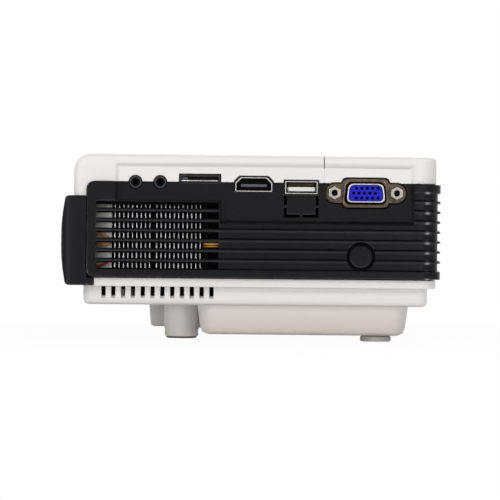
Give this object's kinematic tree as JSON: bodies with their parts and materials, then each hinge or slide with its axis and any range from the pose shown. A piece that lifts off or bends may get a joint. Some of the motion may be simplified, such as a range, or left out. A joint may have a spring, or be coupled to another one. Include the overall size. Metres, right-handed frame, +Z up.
{
  "type": "mini projector",
  "caption": "Compact box projector: white shells, ribbed black side band with connectors and air grilles, front lens in a black bezel, keys on top, screw feet.",
  "frame": {"origin": "centre of the bounding box at the height of the surface that the four feet stand on", "axes": "+X toward the rear, -X toward the lens, -Y toward the connector side, +Z up"},
  "size_m": [0.1528, 0.2, 0.0756],
  "materials": {
    "white_plastic": "fine satin moulding texture, slightly warm white",
    "black_plastic": "satin black moulding",
    "tinted_plastic": "glossy infrared-pass window",
    "dark_plastic": "matt black moulding",
    "optical_glass": "polished and coated",
    "optical_plastic": "clear moulded acrylic",
    "display_glass": "polarised display glass",
    "front_silvered_mirror": "front-silvered",
    "led_substrate": "white lacquered metal board with a yellow emitter",
    "aluminium": "plain extruded",
    "sheet_steel": "zinc plated",
    "bright_steel": "bright nickel plating",
    "tinned_steel": "dull tinned plate",
    "blue_plastic": "saturated blue moulding",
    "ivory_plastic": "white moulding",
    "circuit_board": "green solder mask",
    "orange_insulation": "soft lead insulation",
    "red_insulation": "soft lead insulation",
    "key_plastic": "satin dark grey",
    "foot_rubber": "pale grey soft pad"
  },
  "bodies": {
    "housing": {"bottom_shell": "white_plastic", "top_cover": "white_plastic", "control_deck": "white_plastic", "side_band": "black_plastic", "front_bezel": "black_plastic", "ir_window": "tinted_plastic", "lens_housing": "dark_plastic", "engine_housing": "dark_plastic", "engine_lid": "dark_plastic", "condenser_lens": "optical_glass", "fresnel_lens": "optical_plastic", "lcd_panel": "display_glass", "fold_mirror": "front_silvered_mirror", "led_module": "led_substrate", "heatsink": "aluminium", "heatsink_bracket": "sheet_steel", "fan_frame": "dark_plastic", "main_board": "circuit_board", "av_jack": "dark_plastic", "headphone_jack": "dark_plastic", "card_slot": "sheet_steel", "hdmi_socket": "bright_steel", "hdmi_tongue": "dark_plastic", "usb_socket": "bright_steel", "usb_tongue": "ivory_plastic", "vga_bracket": "tinned_steel", "vga_shell": "bright_steel", "vga_insert": "blue_plastic", "vga_jackscrew_front": "bright_steel", "vga_jackscrew_rear": "bright_steel", "power_inlet": "dark_plastic", "speaker": "dark_plastic", "power_board": "circuit_board", "led_lead_orange": "orange_insulation", "led_lead_red": "red_insulation", "key_board": "circuit_board", "rear_foot_near": "foot_rubber", "rear_foot_far": "foot_rubber", "case_screw_front_near": "sheet_steel", "case_screw_front_far": "sheet_steel", "case_screw_rear_near": "sheet_steel", "case_screw_rear_far": "sheet_steel"},
    "focus_ring_body": {"focus_ring": "black_plastic"},
    "lens_cell_body": {"lens_cell": "dark_plastic", "front_element": "optical_glass"},
    "fan_rotor_body": {"fan_rotor": "dark_plastic"},
    "power_button_body": {"power_button": "black_plastic"},
    "ok_key": {"key_ok": "key_plastic"},
    "up_key": {"key_up": "key_plastic"},
    "down_key": {"key_down": "key_plastic"},
    "left_key": {"key_left": "key_plastic"},
    "right_key": {"key_right": "key_plastic"},
    "power_key": {"key_power": "key_plastic"},
    "source_key": {"key_source": "key_plastic"},
    "menu_key": {"key_menu": "key_plastic"},
    "back_key": {"key_back": "key_plastic"},
    "near_stud": {"foot_stud_near": "sheet_steel"},
    "far_stud": {"foot_stud_far": "sheet_steel"},
    "near_knob": {"foot_knob_near": "white_plastic"},
    "far_knob": {"foot_knob_far": "white_plastic"}
  },
  "joints": [
    {"name": "focus_turn", "type": "hinge", "parent": "housing", "child": "focus_ring_body", "pos_m": [-0.068, 0.046, 0.0401], "axis": [1, 0, 0], "range_deg": [-60, 60]},
    {"name": "focus_slide", "type": "slide", "parent": "housing", "child": "lens_cell_body", "axis": [1, 0, 0], "range_m": [-0.0015, 0.0015]},
    {"name": "fan_spin", "type": "hinge", "parent": "housing", "child": "fan_rotor_body", "pos_m": [-0.0376, 0.085, 0.0417], "axis": [0, 1, 0], "continuous": true},
    {"name": "power_press", "type": "slide", "parent": "housing", "child": "power_button_body", "axis": [0, 1, 0], "range_m": [0, 0.0008], "stiffness_N_per_m": 500, "springref_m": -0.0006},
    {"name": "ok_press", "type": "slide", "parent": "housing", "child": "ok_key", "axis": [0, 0, -1], "range_m": [0, 0.0006], "stiffness_N_per_m": 400, "springref_m": -0.0006},
    {"name": "up_press", "type": "slide", "parent": "housing", "child": "up_key", "axis": [0, 0, -1], "range_m": [0, 0.0006], "stiffness_N_per_m": 400, "springref_m": -0.0006},
    {"name": "down_press", "type": "slide", "parent": "housing", "child": "down_key", "axis": [0, 0, -1], "range_m": [0, 0.0006], "stiffness_N_per_m": 400, "springref_m": -0.0006},
    {"name": "left_press", "type": "slide", "parent": "housing", "child": "left_key", "axis": [0, 0, -1], "range_m": [0, 0.0006], "stiffness_N_per_m": 400, "springref_m": -0.0006},
    {"name": "right_press", "type": "slide", "parent": "housing", "child": "right_key", "axis": [0, 0, -1], "range_m": [0, 0.0006], "stiffness_N_per_m": 400, "springref_m": -0.0006},
    {"name": "power_key_press", "type": "slide", "parent": "housing", "child": "power_key", "axis": [0, 0, -1], "range_m": [0, 0.0006], "stiffness_N_per_m": 400, "springref_m": -0.0006},
    {"name": "source_press", "type": "slide", "parent": "housing", "child": "source_key", "axis": [0, 0, -1], "range_m": [0, 0.0006], "stiffness_N_per_m": 400, "springref_m": -0.0006},
    {"name": "menu_press", "type": "slide", "parent": "housing", "child": "menu_key", "axis": [0, 0, -1], "range_m": [0, 0.0006], "stiffness_N_per_m": 400, "springref_m": -0.0006},
    {"name": "back_press", "type": "slide", "parent": "housing", "child": "back_key", "axis": [0, 0, -1], "range_m": [0, 0.0006], "stiffness_N_per_m": 400, "springref_m": -0.0006},
    {"name": "near_foot_travel", "type": "slide", "parent": "housing", "child": "near_stud", "axis": [0, 0, -1], "range_m": [0, 0.006]},
    {"name": "far_foot_travel", "type": "slide", "parent": "housing", "child": "far_stud", "axis": [0, 0, -1], "range_m": [0, 0.006]},
    {"name": "near_foot_turn", "type": "hinge", "parent": "near_stud", "child": "near_knob", "pos_m": [-0.0286, -0.063, 0.002], "axis": [0, 0, -1], "range_deg": [0, 1080]},
    {"name": "far_foot_turn", "type": "hinge", "parent": "far_stud", "child": "far_knob", "pos_m": [-0.0286, 0.063, 0.002], "axis": [0, 0, -1], "range_deg": [0, 1080]}
  ],
  "couplings": [
    {"joint": "focus_slide", "follows": "focus_turn", "m_per_rad": 0.00143},
    {"joint": "near_foot_turn", "follows": "near_foot_travel", "rad_per_m": 3141.5},
    {"joint": "far_foot_turn", "follows": "far_foot_travel", "rad_per_m": 3141.5}
  ]
}
